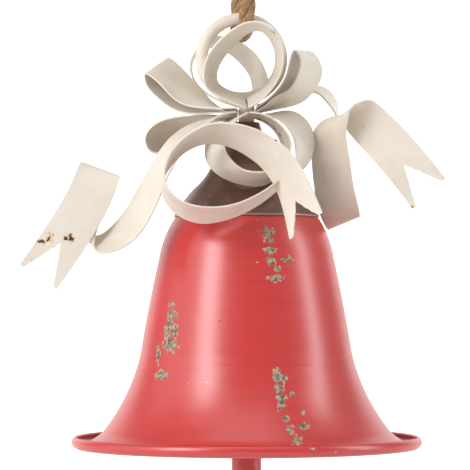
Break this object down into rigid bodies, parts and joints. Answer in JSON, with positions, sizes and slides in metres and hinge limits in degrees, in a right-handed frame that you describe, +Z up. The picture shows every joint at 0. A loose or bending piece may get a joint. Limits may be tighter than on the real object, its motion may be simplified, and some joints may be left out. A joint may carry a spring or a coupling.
{
  "type": "christmas bell ornament",
  "caption": "Hanging sheet-metal Christmas bell with a flared rim, a dark cap, a curled metal ribbon bow, a ring on a loop of jute rope and a swinging clapper.",
  "frame": {"origin": "underside of the rope loop's top bend, where a hook carries the ornament", "axes": "+Z up, +X to the right and +Y away from the viewer, with the bow's front towards -Y"},
  "size_m": [0.2092, 0.1748, 0.3586],
  "materials": {
    "jute": "twisted natural jute, golden tan",
    "cream_paint": "off-white paint, satin, chipped at the edges",
    "red_paint": "red paint over spun steel, satin, worn through in places",
    "dark_bronze_paint": "dark brown bronze-look paint, satin",
    "zinc_steel": "dull zinc-plated steel"
  },
  "bodies": {
    "hanger": {"rope": "jute", "rope_knot": "jute"},
    "bell": {"hanging_ring": "cream_paint", "left_upper_loop": "cream_paint", "right_upper_loop": "cream_paint", "front_top_loop": "cream_paint", "rear_top_loop": "cream_paint", "left_lower_loop": "cream_paint", "front_lower_loop": "cream_paint", "front_tail": "cream_paint", "left_tail": "cream_paint", "right_tail": "cream_paint", "bow_collar": "cream_paint", "crown_cap": "dark_bronze_paint", "bell_shell": "red_paint", "stud": "zinc_steel", "crown_washer": "zinc_steel", "crown_nut": "zinc_steel", "clapper_eye": "zinc_steel"},
    "clapper_link": {"clapper_link": "zinc_steel"},
    "clapper": {"clapper_hook": "zinc_steel", "clapper_rod": "red_paint", "clapper_ball": "red_paint"}
  },
  "joints": [
    {"name": "bell_swing", "type": "hinge", "parent": "hanger", "child": "bell", "pos_m": [-0.0025, 0, -0.08315], "axis": [1, 0, 0], "range_deg": [-20, 20]},
    {"name": "link_swing", "type": "hinge", "parent": "bell", "child": "clapper_link", "pos_m": [0, 0, -0.19555], "axis": [0, 1, 0], "range_deg": [-18, 18]},
    {"name": "clapper_swing", "type": "hinge", "parent": "clapper_link", "child": "clapper", "pos_m": [0, 0, -0.2056], "axis": [1, 0, 0], "range_deg": [-18, 18]}
  ]
}
